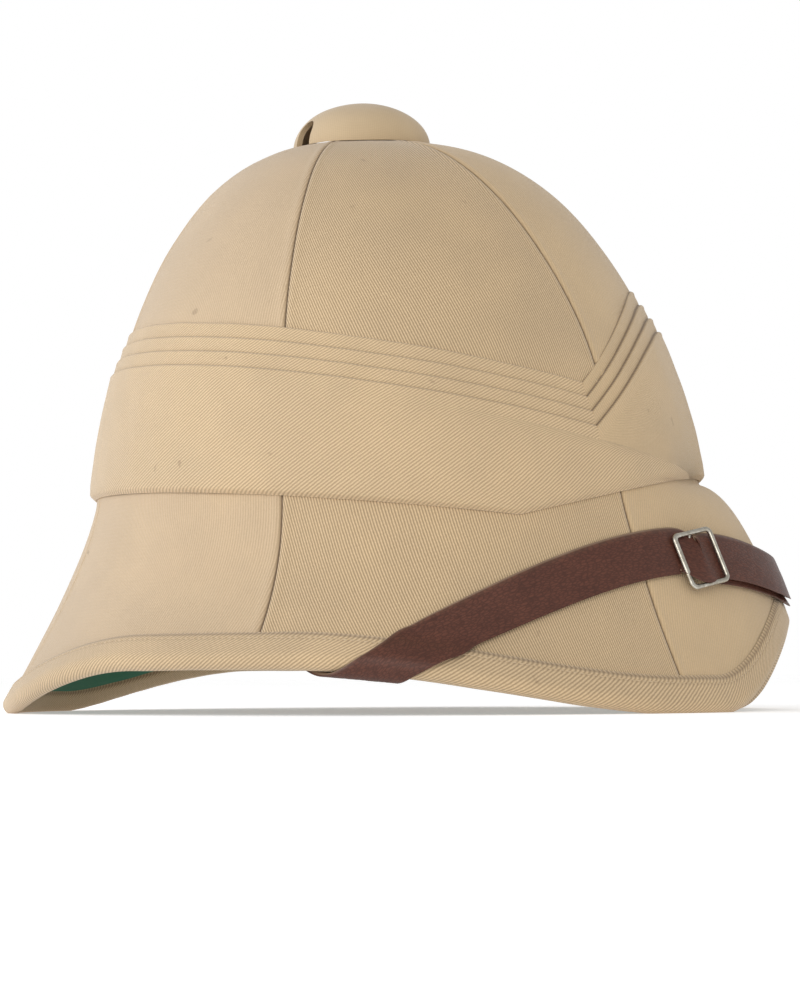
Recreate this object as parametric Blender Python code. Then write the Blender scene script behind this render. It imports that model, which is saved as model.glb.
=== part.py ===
"""A cloth-covered pith helmet: six-panel shell, tucked puggaree, vent cap, bound rim, brim lining and chin strap.

Metres, +Z up, +X to the wearer's front, +Y to the wearer's left. The origin is on the surface that the helmet
stands on, below the middle of its box. It stands on the back of its rim and on the two corners of its peak.
"""

import math

import bmesh
import bpy
from mathutils import Matrix, Vector

# The shell: crown above the waist, brim below it
WAIST_FRONT = 0.1240        # waist, from the middle to the front
WAIST_BACK = 0.1206
WAIST_SIDE = 0.1060
WAIST_HEIGHT = 0.084        # at the sides and back
WAIST_HEIGHT_FRONT = 0.090
CROWN_TOP = 0.2303          # height of the crown, as if it had no vent hole
CROWN_RISE = 1.44           # above 1, the crown's height grows slowly over the waist
CROWN_TAPER_FRONT = 0.61    # below 1, the crown keeps its width further up than an ellipse
CROWN_TAPER_SIDE = 0.72
CROWN_TAPER_BACK = 0.80
CROWN_LEAN = -0.0140        # the crown's top lies this far towards the back
RIM_LENGTH_HALF = 0.1592    # rim of the shell's outer face, seen from above
RIM_WIDTH_HALF = 0.1300
WALL = 0.0050               # cork and cloth
VENT_HOLE = 0.0130          # radius of the hole under the cap

# How the brim leaves the waist: near 1 it runs straight, above it the flare comes late
FLARE_FRONT = 0.55
FLARE_SIDE = 2.4
FLARE_BACK = 1.20

# Height of the rim's lowest line above the surface, going round from the front
PEAK_LIFT = 0.0320          # middle of the peak
SIDE_LIFT = 0.0175          # the sides' arch
PRESS = 0.0007              # cloth pressed flat where the rim rests
PEAK_CORNER = (30, 38)      # degrees from the front, where a corner rests
SIDE_CREST = (98, 121)     # where the sides' arch is highest
BACK_REST = 167             # from here to the back the rim rests

# Seams between the panels, degrees from the front
FRONT_SEAM = 38
SIDE_SEAM = 102
BACK_SEAM = 158
SEAM_SWING = 8              # how far the crown's seams swing towards the sides near the top
SEAM_GAP = 0.0003

# What lies on the shell
CLOTH_GAP = 0.0003
WRAP_GAP = 0.0005           # under the puggaree and the lining
BINDING = 0.0012            # thickness of the bound cloth
BINDING_GAP = 0.0005
BINDING_OUTSIDE = 0.0080    # how far it comes up outside and inside
BINDING_INSIDE = 0.0060
LINING = 0.0010
LINING_TOP = 0.046          # how far the green cloth goes up inside, from the rim

# The puggaree
FOLD = 0.0009               # what each layer of its cloth adds
MITRE = 43                  # degrees from the front, where the side wrap meets the front band
FOOT_CORNER = 60            # where its lower edge is lowest
BACK_LEVEL = 155            # from here to the back its edges run level
TOP_BACK = 0.1530           # heights of its edges above the surface
TOP_MITRE = 0.1250
TOP_FRONT = 0.1680
FOOT_BACK = 0.0860
FOOT_LOW = 0.0740
FOOT_FRONT = 0.0920
TUCK_PITCH = 0.0058         # between one tuck's edge and the next

# The vent cap
CAP_RADIUS = 0.0280
CAP_HEIGHT = 0.0180
CAP_WALL = 0.0024
CAP_CENTRE = -0.0118
CAP_OPENING = 0.0100        # width and height of each opening
CAP_OPENING_HEIGHT = 0.0095
CAP_OPENING_ANGLE = 140     # degrees from the front

# The chin strap and its slider
STRAP_WIDTH = 0.0180
STRAP = 0.0015
STRAP_GAP = 0.0016          # between the strap and the shell or its binding
LAYER_GAP = 0.0005          # between its two layers
STRAP_CROSSING = 84         # degrees from the front, where it turns over the rim
STRAP_SLANT = 22            # degrees that each end runs back inside
STRAP_INSIDE = 0.0420       # how far its ends go up inside
STRAP_CREST = 23            # where it is highest
STRAP_CREST_HEIGHT = 0.0603
STRAP_PEAK_HEIGHT = 0.0545  # its height at the front
RETURN_DROP = 0.0013        # how far the inner layer shows below the outer one
SLIDER_ANGLE = 26
SLIDER_WIRE = 0.0017
SLIDER_LENGTH = 0.0200      # along the strap
SLIDER_PLAY = 0.0007        # between the strap's edges and the slider
STUD_RADIUS = 0.0045
STUD = 0.0018

FRONT_STEP = 5.3            # degrees between two columns of the mesh, at most, over the peak
SIDE_STEP = 9.4


def smooth(value, low, high):
    """Goes smoothly from 0 at low to 1 at high."""
    u = min(max((value - low) / (high - low), 0.0), 1.0)
    return u * u * (3 - 2 * u)


def around(front, side, back, degrees):
    """A value at this angle from one each for the front, the side and the back."""
    c = math.cos(math.radians(degrees))
    end = front if c > 0 else back
    return side + (end - side) * c * c


def rim_height(degrees):
    """Height of the rim's lowest line, below 0 where the cloth is pressed flat."""
    a = abs((degrees + 180) % 360 - 180)
    peak = PEAK_LIFT * (1 - smooth(a, 0, PEAK_CORNER[0]))
    arch = SIDE_LIFT * smooth(a, PEAK_CORNER[1], SIDE_CREST[0]) * (1 - smooth(a, SIDE_CREST[1], BACK_REST))
    return peak + arch - PRESS


def waist_height(degrees):
    return around(WAIST_HEIGHT_FRONT, WAIST_HEIGHT, WAIST_HEIGHT, degrees)


def taper(degrees):
    return around(CROWN_TAPER_FRONT, CROWN_TAPER_SIDE, CROWN_TAPER_BACK, degrees)


def shell_point(degrees, s):
    """A point of the shell's outer face. s goes from 0 at the vent hole to 1 at the waist and 2 at the rim."""
    t = math.radians(degrees)
    length = WAIST_FRONT if math.cos(t) > 0 else WAIST_BACK
    waist = waist_height(degrees)
    if s <= 1:
        top = math.acos((VENT_HOLE / length) ** (1 / taper(degrees)))
        phi = top * (1 - s)
        width = math.cos(phi) ** taper(degrees)
        x = CROWN_LEAN * math.sin(phi) ** 2 + length * width * math.cos(t)
        y = WAIST_SIDE * width * math.sin(t)
        return Vector((x, y, waist + (CROWN_TOP - waist) * math.sin(phi) ** CROWN_RISE))
    w = s - 1
    out = w ** around(FLARE_FRONT, FLARE_SIDE, FLARE_BACK, degrees)
    low = rim_height(degrees) + rim_drop(degrees)
    x = (length + (RIM_LENGTH_HALF - length) * out) * math.cos(t)
    y = (WAIST_SIDE + (RIM_WIDTH_HALF - WAIST_SIDE) * out) * math.sin(t)
    return Vector((x, y, waist + (low - waist) * w))


def rim_drop(degrees):
    """How far the rim's outer edge lies above the lowest line of its bound edge."""
    t = math.radians(degrees)
    length = WAIST_FRONT if math.cos(t) > 0 else WAIST_BACK
    reach = math.hypot((RIM_LENGTH_HALF - length) * math.cos(t), (RIM_WIDTH_HALF - WAIST_SIDE) * math.sin(t))
    flare = around(FLARE_FRONT, FLARE_SIDE, FLARE_BACK, degrees)
    slope = math.atan2(waist_height(degrees) - rim_height(degrees), reach * flare)
    return BINDING + BINDING_GAP + WALL / 2 * (1 + math.cos(slope) - math.sin(slope))


def frame_at(degrees, s):
    """The outer face's point, the way down along it and its outward normal."""
    step = 0.02
    low, high = max(s - step, 0.0), min(s + step, 2.0)
    down = (shell_point(degrees, high) - shell_point(degrees, low)).normalized()
    across = shell_point(degrees + 0.5, s) - shell_point(degrees - 0.5, s)
    normal = down.cross(across).normalized()
    return shell_point(degrees, s), down, normal


def on_shell(degrees, s, lift):
    """A point over the outer face, or under it where lift is negative."""
    point, _, normal = frame_at(degrees, s)
    return point + normal * lift


def s_at_height(degrees, height):
    """Where the outer face has this height."""
    low, high = 0.0, 2.0
    for _ in range(40):
        s = (low + high) / 2
        if shell_point(degrees, s).z > height:
            low = s
        else:
            high = s
    return s


def s_from_rim(degrees, length):
    """Where the outer face is this far up from the rim, along its slope."""
    s = 2.0
    last = shell_point(degrees, s)
    travelled = 0.0
    while True:
        point = shell_point(degrees, s - 0.02)
        run = (point - last).length
        if travelled + run >= length:
            return s - 0.02 * (length - travelled) / run
        travelled += run
        s -= 0.02
        last = point


def round_rim(degrees, length, lift):
    """A point on the path over the shell's edge, lift clear of the wall.

    length is 0 at the middle of the edge, grows up the outside and falls below 0 up the inside.
    """
    radius = WALL / 2
    turn = math.pi / 2 * radius
    if abs(length) <= turn:
        point, down, normal = frame_at(degrees, 2.0)
        angle = length / radius
        centre = point - normal * radius - down * radius
        spot = centre + (normal * math.sin(angle) + down * math.cos(angle)) * (radius + lift)
    else:
        s = s_from_rim(degrees, abs(length) - turn + radius)
        spot = on_shell(degrees, s, lift if length > 0 else -WALL - lift)
    spot.z = max(spot.z, 0.0)
    return spot


def columns(start, end):
    """Angles from start to end in equal steps, each seam between them being one of the angles."""
    marks = (FRONT_SEAM, SIDE_SEAM, BACK_SEAM, MITRE, FOOT_CORNER)
    seams = [k * a for a in marks for k in (-1, 1)]
    seams += [a + 360 for a in seams]
    stops = [start] + sorted(a for a in seams if start < a < end) + [end]
    angles = []
    for a, b in zip(stops, stops[1:]):
        step = FRONT_STEP if max(abs(a), abs(b)) <= FRONT_SEAM else SIDE_STEP
        count = max(math.ceil((b - a) / step), 1)
        angles += [a + (b - a) * k / count for k in range(count)]
    return angles + [end]


def solid_of_sections(name, sections, closed):
    """One body from closed sections with as many points each. Without a closed loop its two ends are capped."""
    bm = bmesh.new()
    rings = [[bm.verts.new(p) for p in section] for section in sections]
    count = len(rings[0])
    pairs = list(zip(rings, rings[1:] + rings[:1])) if closed else list(zip(rings, rings[1:]))
    for a, b in pairs:
        for k in range(count):
            j = (k + 1) % count
            bm.faces.new((a[k], a[j], b[j], b[k]))
    if not closed:
        for ring in (rings[0], rings[-1]):
            close_end(bm, ring)
    bmesh.ops.triangulate(bm, faces=bm.faces, quad_method="SHORT_EDGE")
    bmesh.ops.recalc_face_normals(bm, faces=bm.faces)
    return add_object(name, bm)


def close_end(bm, ring):
    """Fills an end section with triangles between its two long sides, the same way on both sides of a seam."""
    low, high = 0, len(ring) - 1
    while high - low > 1:
        bm.faces.new((ring[low], ring[low + 1], ring[high]))
        low += 1
        if high - low > 1:
            bm.faces.new((ring[low], ring[high - 1], ring[high]))
            high -= 1


def add_object(name, bm):
    mesh = bpy.data.meshes.new(name)
    bm.to_mesh(mesh)
    bm.free()
    mesh.shade_smooth()
    mesh.set_sharp_from_angle(angle=math.radians(40))
    part = bpy.data.objects.new(name, mesh)
    bpy.context.scene.collection.objects.link(part)
    return part


def layer_section(outer, inner):
    """A closed section from the points of its outer face and of its inner face, both from top to bottom."""
    return outer + inner[::-1]


def material(name, colour, roughness, metallic=0.0):
    found = bpy.data.materials.get(name)
    if found:
        return found
    made = bpy.data.materials.new(name)
    made.use_nodes = True
    shader = made.node_tree.nodes["Principled BSDF"]
    shader.inputs["Base Color"].default_value = (*colour, 1.0)
    shader.inputs["Roughness"].default_value = roughness
    shader.inputs["Metallic"].default_value = metallic
    return made


def cover(part, made):
    part.data.materials.append(made)
    return part


def twill():
    return material("khaki_twill", (0.54, 0.42, 0.28), 0.85)


def leather():
    return material("brown_leather", (0.065, 0.025, 0.018), 0.5)


def steel():
    return material("plated_steel", (0.55, 0.55, 0.52), 0.3, 1.0)


def stations():
    """Lengths up the brim from where its rounded edge starts, shared by every layer, the highest first."""
    low = [0.0, BINDING_INSIDE]
    high = [BINDING_OUTSIDE + (LINING_TOP - BINDING_OUTSIDE) * k / 3 for k in range(4)]
    return (low + high)[::-1]


def seam_turn(degrees, s):
    """How far a line of the shell that runs straight down the brim swings round at the crown's top."""
    return SEAM_SWING * (1 - smooth(s, 0.1, 0.65)) * math.sin(math.radians(2 * degrees))


def shell_panel(name, start, end):
    """One of the six cloth-covered panels, from the vent hole down to the rim."""
    turn = math.pi / 4 * WALL
    sections = []
    for degrees in columns(start, end):
        brim = [s_from_rim(degrees, WALL / 2 + length) for length in stations()]
        rows = [(k / 9) ** 1.7 for k in range(10)] + [1 + (brim[0] - 1) * k / 3 for k in (1, 2)] + brim
        outer = [on_shell(degrees + seam_turn(degrees, s), s, 0.0) for s in rows]
        inner = [on_shell(degrees + seam_turn(degrees, s), s, -WALL) for s in rows]
        rim = [round_rim(degrees, length, 0.0) for length in (turn / 2, 0.0, -turn / 2)]
        sections.append(outer + rim + inner[::-1])
    trim_end(sections[0], sections[1])
    trim_end(sections[-1], sections[-2])
    return cover(solid_of_sections(name, sections, False), twill())


def trim_end(section, neighbour):
    """Draws a panel's last section half a seam gap back towards its neighbour."""
    for k, point in enumerate(section):
        way = neighbour[k] - point
        point += way.normalized() * SEAM_GAP / 2


def brim_binding():
    """Bias cloth folded over the rim, pressed flat where the helmet stands on it."""
    turn = math.pi / 4 * WALL
    inside = turn + BINDING_INSIDE
    up = [turn + length for length in stations() if length <= BINDING_OUTSIDE]
    over = [turn * share for share in (0.48, 0.03, -0.32, -0.65)]
    stops = up + over + [-length for length in up[::-1] if length <= inside]
    sections = []
    for degrees in columns(-180, 180)[:-1]:
        outer = [round_rim(degrees, length, BINDING_GAP + BINDING) for length in stops]
        inner = [round_rim(degrees, length, BINDING_GAP) for length in stops]
        for a, b in zip(outer, inner):
            b.z = max(b.z, BINDING / 2)
        sections.append(layer_section(outer, inner))
    return cover(solid_of_sections("brim_binding", sections, True), twill())


def brim_lining():
    """The green cloth under the brim, from the binding up to past the waist."""
    lengths = [length for length in stations() if length > BINDING_INSIDE] + [BINDING_INSIDE + BINDING_GAP]
    sections = []
    for degrees in columns(-180, 180)[:-1]:
        spots = [s_from_rim(degrees, WALL / 2 + length) for length in lengths]
        near = [on_shell(degrees, s, -WALL - WRAP_GAP) for s in spots]
        far = [on_shell(degrees, s, -WALL - WRAP_GAP - LINING) for s in spots]
        sections.append(layer_section(near, far))
    green = material("green_lining", (0.02, 0.14, 0.08), 0.8)
    return cover(solid_of_sections("brim_lining", sections, True), green)


def quarter(value, start, end):
    """Rises as a quarter of a sine wave from 0 at start to 1 at end, and stays there."""
    return math.sin(math.pi / 2 * min(max((value - start) / (end - start), 0.0), 1.0))


def wrap_edges(degrees):
    """Heights of the puggaree's top and foot at this angle."""
    a = abs(degrees)
    if a < MITRE:
        top = TOP_MITRE + (TOP_FRONT - TOP_MITRE) * quarter(MITRE - a, 0, MITRE)
    else:
        top = TOP_MITRE + (TOP_BACK - TOP_MITRE) * quarter(a, MITRE, BACK_LEVEL)
    if a < FOOT_CORNER:
        foot = FOOT_LOW + (FOOT_FRONT - FOOT_LOW) * quarter(FOOT_CORNER - a, 0, FOOT_CORNER)
    else:
        foot = FOOT_LOW + (FOOT_BACK - FOOT_LOW) * quarter(a, FOOT_CORNER, BACK_LEVEL)
    return top, foot


def puggaree(name, start, end):
    """A stretch of the wrap: three tucks at its top, each lying over the one above it, then the wide fold."""
    sections = []
    for degrees in columns(start, end):
        turned = (degrees + 180) % 360 - 180
        top, foot = wrap_edges(turned)
        spots, lifts = [], []
        for tuck in range(4):
            edge = s_at_height(turned, top - tuck * TUCK_PITCH)
            spots += [edge, edge]
            lifts += [tuck * FOLD, (tuck + 1) * FOLD]
        low = s_at_height(turned, foot)
        spots += [edge + (low - edge) * k / 3 for k in (1, 2, 3)]
        lifts += [4 * FOLD] * 3
        spots, lifts = spots[1:], lifts[1:]
        outer = [on_shell(turned, s, WRAP_GAP + lift) for s, lift in zip(spots, lifts)]
        back = [spots[0], spots[2], spots[4]] + spots[6:]
        inner = [on_shell(turned, s, WRAP_GAP) for s in back]
        sections.append(layer_section(outer, inner))
    trim_end(sections[0], sections[1])
    trim_end(sections[-1], sections[-2])
    return cover(solid_of_sections(name, sections, False), twill())


def crown_height(x, y):
    """Height of the crown's outer face over this place."""
    low, high = 0.0, math.pi / 2
    for _ in range(40):
        phi = (low + high) / 2
        ahead = x - CROWN_LEAN * math.sin(phi) ** 2
        length = WAIST_FRONT if ahead > 0 else WAIST_BACK
        degrees = math.degrees(math.atan2(y / WAIST_SIDE, ahead / length))
        if math.hypot(ahead / length, y / WAIST_SIDE) < math.cos(phi) ** taper(degrees):
            low = phi
        else:
            high = phi
    waist = waist_height(degrees)
    return waist + (CROWN_TOP - waist) * math.sin(phi) ** CROWN_RISE


def cap_seat():
    """Place and tilt of the vent cap, square to the crown at its middle."""
    step = 0.004
    fall = (crown_height(CAP_CENTRE + step, 0) - crown_height(CAP_CENTRE - step, 0)) / (2 * step)
    tilt = Matrix.Rotation(-math.atan(fall), 4, "Y")
    return Matrix.Translation((CAP_CENTRE, 0, crown_height(CAP_CENTRE, 0))) @ tilt


def seat_level(place, radius, angle):
    """Height of the crown under the cap's wall, in the cap's own frame."""
    level = 0.0
    for _ in range(12):
        spot = place @ Vector((radius * math.cos(angle), radius * math.sin(angle), level))
        level += crown_height(spot.x, spot.y) - spot.z
    return level


def vent_cap():
    """A hollow cloth-covered dome over the vent hole, with an arched opening at each back quarter."""
    place = cap_seat()
    turns = 32
    rises = [math.radians(a) for a in (0, 16, 32, 48, 64, 80)]
    rim_level = seat_level(place, CAP_RADIUS, 0)
    sections = []
    for k in range(turns):
        angle = 2 * math.pi * k / turns
        section = []
        for radius, top, steps in (
            (CAP_RADIUS, CAP_HEIGHT + rim_level, rises),
            (CAP_RADIUS - CAP_WALL, CAP_HEIGHT + rim_level - CAP_WALL, rises[::-1]),
        ):
            foot = seat_level(place, radius, angle) + CLOTH_GAP
            for rise in steps:
                across = radius * math.cos(rise) ** 0.92
                up = foot + (top - foot) * math.sin(rise)
                section.append(place @ Vector((across * math.cos(angle), across * math.sin(angle), up)))
        sections.append(section)
    bm = bmesh.new()
    rings = [[bm.verts.new(p) for p in section] for section in sections]
    count = len(rings[0])
    for k, ring in enumerate(rings):
        after = rings[(k + 1) % turns]
        for j in range(count):
            if j == len(rises) - 1:
                continue
            i = (j + 1) % count
            bm.faces.new((ring[j], ring[i], after[i], after[j]))
    bm.faces.new([ring[len(rises) - 1] for ring in rings])
    bm.faces.new([ring[len(rises)] for ring in rings])
    bmesh.ops.triangulate(bm, faces=[f for f in bm.faces if len(f.verts) > 4])
    bmesh.ops.recalc_face_normals(bm, faces=bm.faces)
    cap = add_object("vent_cap", bm)
    for side in (-1, 1):
        cap_opening(cap, place, side, rim_level)
    return cover(cap, twill())


def cap_opening(cap, place, side, rim_level):
    """Cuts one arched opening through the cap's wall, down to the crown."""
    angle = math.radians(side * CAP_OPENING_ANGLE)
    half = CAP_OPENING / 2
    spring = rim_level + CAP_OPENING_HEIGHT - half
    outline = [(-half, -0.012), (half, -0.012)]
    outline += [(half * math.cos(a), spring + half * math.sin(a)) for a in [math.pi * k / 8 for k in range(9)]]
    turn = place @ Matrix.Rotation(angle, 4, "Z")
    sections = []
    for depth in (CAP_RADIUS * 0.45, CAP_RADIUS * 1.3):
        sections.append([turn @ Vector((depth, u, v)) for u, v in outline])
    cutter = solid_of_sections("opening_cutter", sections, False)
    cutter.hide_render = True
    cutter.display_type = "WIRE"
    cut = cap.modifiers.new("opening", "BOOLEAN")
    cut.operation = "DIFFERENCE"
    cut.solver = "EXACT"
    cut.object = cutter


def strap_height(a):
    """Height of the strap's middle above the surface, from the rim to the front."""
    if a < STRAP_CREST:
        return STRAP_PEAK_HEIGHT + (STRAP_CREST_HEIGHT - STRAP_PEAK_HEIGHT) * quarter(a, 0, STRAP_CREST)
    edge = rim_height(STRAP_CROSSING) + rim_drop(STRAP_CROSSING)
    return edge + (STRAP_CREST_HEIGHT - edge) * quarter(STRAP_CROSSING - a, 0, STRAP_CROSSING - STRAP_CREST)


def strap_length(a):
    """The same place as a length up the shell from the middle of the rim's edge."""
    s = s_at_height(a, strap_height(a))
    steps = 24
    points = [shell_point(a, s + (2 - s) * k / steps) for k in range(steps + 1)]
    return sum((p - q).length for p, q in zip(points, points[1:])) + (math.pi / 4 - 0.5) * WALL


def strap_line(start, end):
    """The strap's middle line from start to end, as (angle, length round the rim). Beyond the crossings it is inside."""
    inside = [1 - 0.16 * k for k in range(4)] + [0.40 - 0.036 * k for k in range(11)]
    near = [STRAP_CROSSING - 1.1 * k for k in range(10)]
    steps = 11
    side = [SLIDER_ANGLE + (near[-1] - SLIDER_ANGLE) * (1 - k / steps) for k in range(1, steps + 1)]
    front = [SLIDER_ANGLE * (1 - k / 6) for k in range(1, 7)]
    half = [(STRAP_CROSSING + STRAP_SLANT * u, -STRAP_INSIDE * u) for u in inside]
    half += [(a, strap_length(a)) for a in near + side + front]
    rows = [(-a, length) for a, length in half] + half[-2::-1]
    return [(a, length) for a, length in rows if start <= a <= end]


def cloth_under(length):
    """How high the bound cloth stands off the shell here, eased down beside its edges."""
    turn = math.pi / 4 * WALL
    thick = BINDING + BINDING_GAP
    if length > 0:
        return thick * (1 - smooth(length, turn + BINDING_OUTSIDE + 0.001, turn + BINDING_OUTSIDE + 0.006))
    return thick


def ribbon(name, line, lift, drop):
    """A band of leather along a line round the shell. lift gives how far it lies off what is under it."""
    sections = []
    middle = [round_rim(a, length, BINDING) for a, length in line]
    for k, (angle, length) in enumerate(line):
        way = (middle[min(k + 1, len(line) - 1)] - middle[max(k - 1, 0)]).normalized()
        up = (round_rim(angle, length + 0.001, BINDING) - round_rim(angle, length - 0.001, BINDING)).normalized()
        out = (round_rim(angle, length, BINDING + 0.001) - middle[k]).normalized()
        side = out.cross(way).normalized()
        per_degree = (round_rim(angle + 1, length, BINDING) - round_rim(angle - 1, length, BINDING)) / 2
        across = per_degree - up * per_degree.dot(up)
        section = []
        base = STRAP_GAP + lift(angle)
        lower = drop * (1 - smooth(abs(angle), 45, 65))
        for level in (base + STRAP, base):
            row = []
            for step in range(-2, 3):
                reach = side * (step / 2 * STRAP_WIDTH / 2)
                along = reach.dot(across) / across.length_squared
                climb = length + reach.dot(up) - along * per_degree.dot(up) - lower
                row.append(round_rim(angle + along, climb, level + cloth_under(climb)))
            section += row if level > base else row[::-1]
        sections.append(section)
    return cover(solid_of_sections(name, sections, False), leather())


def outer_lift(angle):
    """The outer layer lies on the shell up to the slider, and on the inner layer from its middle bar on."""
    half = SLIDER_LENGTH / 2 / RIM_LENGTH_HALF
    rise = smooth(angle, -SLIDER_ANGLE - math.degrees(half) * 0.95, -SLIDER_ANGLE - math.degrees(half) * 0.15)
    return (STRAP + LAYER_GAP) * rise


def strap_frame(angle, length):
    """Place on the shell with X along the strap, Y up across it and Z outwards."""
    point = round_rim(angle, length, 0.0)
    ahead = round_rim(angle + 1, strap_length(abs(angle + 1)), 0.0) - point
    out = (round_rim(angle, length, 0.001) - point).normalized()
    side = out.cross(ahead).normalized()
    along = side.cross(out)
    turn = Matrix((along, side, out)).transposed().to_4x4()
    return Matrix.Translation(point) @ turn


def block(name, place, low, high, lean=0.0):
    """A box in this place's own frame. lean raises it in proportion to X."""
    sections = []
    for x in (low[0], high[0]):
        rise = lean * x
        corners = [(low[1], low[2]), (high[1], low[2]), (high[1], high[2]), (low[1], high[2])]
        sections.append([place @ Vector((x, y, z + rise)) for y, z in corners])
    return solid_of_sections(name, sections, False)


def slider_buckle():
    """A flat wire frame over the strap, with a middle bar under the strap's outer layer."""
    place = strap_frame(-SLIDER_ANGLE, strap_length(SLIDER_ANGLE))
    half = SLIDER_LENGTH / 2
    inner = STRAP_WIDTH / 2 + SLIDER_PLAY
    outer = inner + SLIDER_WIRE
    layer = STRAP + LAYER_GAP
    base = STRAP_GAP + STRAP + layer / 2 + LAYER_GAP * 2
    top = base + SLIDER_WIRE * 0.9
    lean = layer / (SLIDER_LENGTH - SLIDER_WIRE)
    bar_low = STRAP_GAP + CLOTH_GAP
    bar_high = STRAP_GAP + layer - CLOTH_GAP
    frame = block("slider_buckle", place, (-half, inner, base), (half, outer, top), lean)
    pieces = [block("frame_foot", place, (-half, -outer, base), (half, -inner, top), lean)]
    tuck = SLIDER_WIRE * 0.08
    reach = (inner + outer) / 2
    for end in (-1, 1):
        x = end * (half - SLIDER_WIRE / 2)
        wide = SLIDER_WIRE / 2 - tuck
        pieces.append(block("frame_end", place, (x - wide, -reach, base + tuck), (x + wide, reach, top - tuck), lean))
    bar = SLIDER_WIRE * 0.5
    pieces.append(block("middle_bar", place, (-bar, -reach, bar_low + tuck), (bar, reach, bar_high)))
    for side in (-1, 1):
        near, far = sorted((side * (inner + tuck), side * (outer - tuck)))
        pieces.append(block("bar_post", place, (-bar - tuck, near, bar_low), (bar + tuck, far, (base + top) / 2)))
    for piece in pieces:
        piece.hide_render = True
        piece.display_type = "WIRE"
        join = frame.modifiers.new("join", "BOOLEAN")
        join.operation = "UNION"
        join.solver = "EXACT"
        join.object = piece
    return cover(frame, steel())


def strap_stud(name, side):
    """The head of the rivet that holds an end of the strap inside."""
    angle = side * (STRAP_CROSSING + STRAP_SLANT * 0.86)
    length = -STRAP_INSIDE * 0.86
    point = round_rim(angle, length, 0.0)
    out = (round_rim(angle, length, 0.001) - point).normalized()
    layers = 2 if side > 0 else 1
    base = STRAP_GAP + cloth_under(length) + layers * (STRAP + LAYER_GAP)
    across = out.orthogonal().normalized()
    up = out.cross(across)
    sections = []
    for height, share in ((0.0, 1.0), (STUD * 0.5, 1.0), (STUD, 0.72)):
        centre = point + out * (base + height)
        ring = []
        for k in range(20):
            a = 2 * math.pi * k / 20
            ring.append(centre + (across * math.cos(a) + up * math.sin(a)) * STUD_RADIUS * share)
        sections.append(ring)
    return cover(solid_of_sections(name, sections, False), steel())


def main():
    for old in list(bpy.data.objects):
        bpy.data.objects.remove(old, do_unlink=True)
    shell_panel("panel_front", -FRONT_SEAM, FRONT_SEAM)
    shell_panel("panel_right_front", -SIDE_SEAM, -FRONT_SEAM)
    shell_panel("panel_right_rear", -BACK_SEAM, -SIDE_SEAM)
    shell_panel("panel_back", BACK_SEAM, 360 - BACK_SEAM)
    shell_panel("panel_left_rear", SIDE_SEAM, BACK_SEAM)
    shell_panel("panel_left_front", FRONT_SEAM, SIDE_SEAM)
    brim_binding()
    brim_lining()
    puggaree("puggaree_wrap", MITRE, 360 - MITRE)
    puggaree("puggaree_front", -MITRE, MITRE)
    vent_cap()
    ribbon("chin_strap", strap_line(-180, 180), outer_lift, 0.0)
    bar = math.degrees(SLIDER_WIRE * 1.5 / RIM_LENGTH_HALF)
    ribbon("strap_return", strap_line(bar - SLIDER_ANGLE, 180), lambda angle: 0.0, RETURN_DROP)
    slider_buckle()
    strap_stud("strap_stud_right", -1)
    strap_stud("strap_stud_left", 1)


main()
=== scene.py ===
import math

import bmesh
import bpy
import numpy as np
from mathutils import Matrix, Vector


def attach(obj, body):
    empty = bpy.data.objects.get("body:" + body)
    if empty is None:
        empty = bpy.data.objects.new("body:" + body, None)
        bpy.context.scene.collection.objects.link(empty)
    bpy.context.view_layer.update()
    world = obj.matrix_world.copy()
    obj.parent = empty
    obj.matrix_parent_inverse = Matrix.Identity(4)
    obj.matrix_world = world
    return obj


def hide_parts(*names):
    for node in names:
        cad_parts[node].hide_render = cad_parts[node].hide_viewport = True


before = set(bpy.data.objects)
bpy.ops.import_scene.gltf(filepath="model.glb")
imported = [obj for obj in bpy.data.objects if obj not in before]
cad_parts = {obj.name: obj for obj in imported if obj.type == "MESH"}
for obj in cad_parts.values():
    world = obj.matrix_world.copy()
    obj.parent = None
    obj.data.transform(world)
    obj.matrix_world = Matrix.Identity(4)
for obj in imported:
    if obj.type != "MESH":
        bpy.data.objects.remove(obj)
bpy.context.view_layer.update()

# The shell. A moulded cork body, 5 mm thick, covered with six sewn pieces of khaki cotton twill. It is domed
# above the waist and flares below it into the brim. Each piece turns in at its edges, so that every seam is a
# fine groove between two soft ridges.
WAIST_FRONT, WAIST_BACK, WAIST_SIDE = 0.1240, 0.1206, 0.1060
WAIST_HEIGHT, WAIST_HEIGHT_FRONT = 0.084, 0.090
CROWN_TOP, CROWN_RISE, CROWN_LEAN = 0.2303, 1.44, -0.0140
TAPER_FRONT, TAPER_SIDE, TAPER_BACK = 0.61, 0.72, 0.80
RIM_LENGTH_HALF, RIM_WIDTH_HALF = 0.1592, 0.1300
FLARE_FRONT, FLARE_SIDE, FLARE_BACK = 0.55, 2.4, 1.20
PEAK_LIFT, SIDE_LIFT, PRESS = 0.0320, 0.0175, 0.0007
PEAK_CORNER, SIDE_CREST, BACK_REST = (30, 38), (98, 121), 167
FRONT_SEAM, SIDE_SEAM, BACK_SEAM = 38, 102, 158
SEAM_SWING = 8
WALL = 0.0050
VENT_HOLE = 0.0130
BINDING, BINDING_GAP = 0.0012, 0.0005


def ease(value, low, high):
    """Goes smoothly from 0 at low to 1 at high."""
    u = np.clip((np.asarray(value, float) - low) / (high - low), 0, 1)
    return u * u * (3 - 2 * u)


def around(front, side, back, degrees):
    """A value at this angle from one each for the front, the side and the back."""
    c = np.cos(np.radians(degrees))
    return side + (np.where(c > 0, front, back) - side) * c * c


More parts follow.
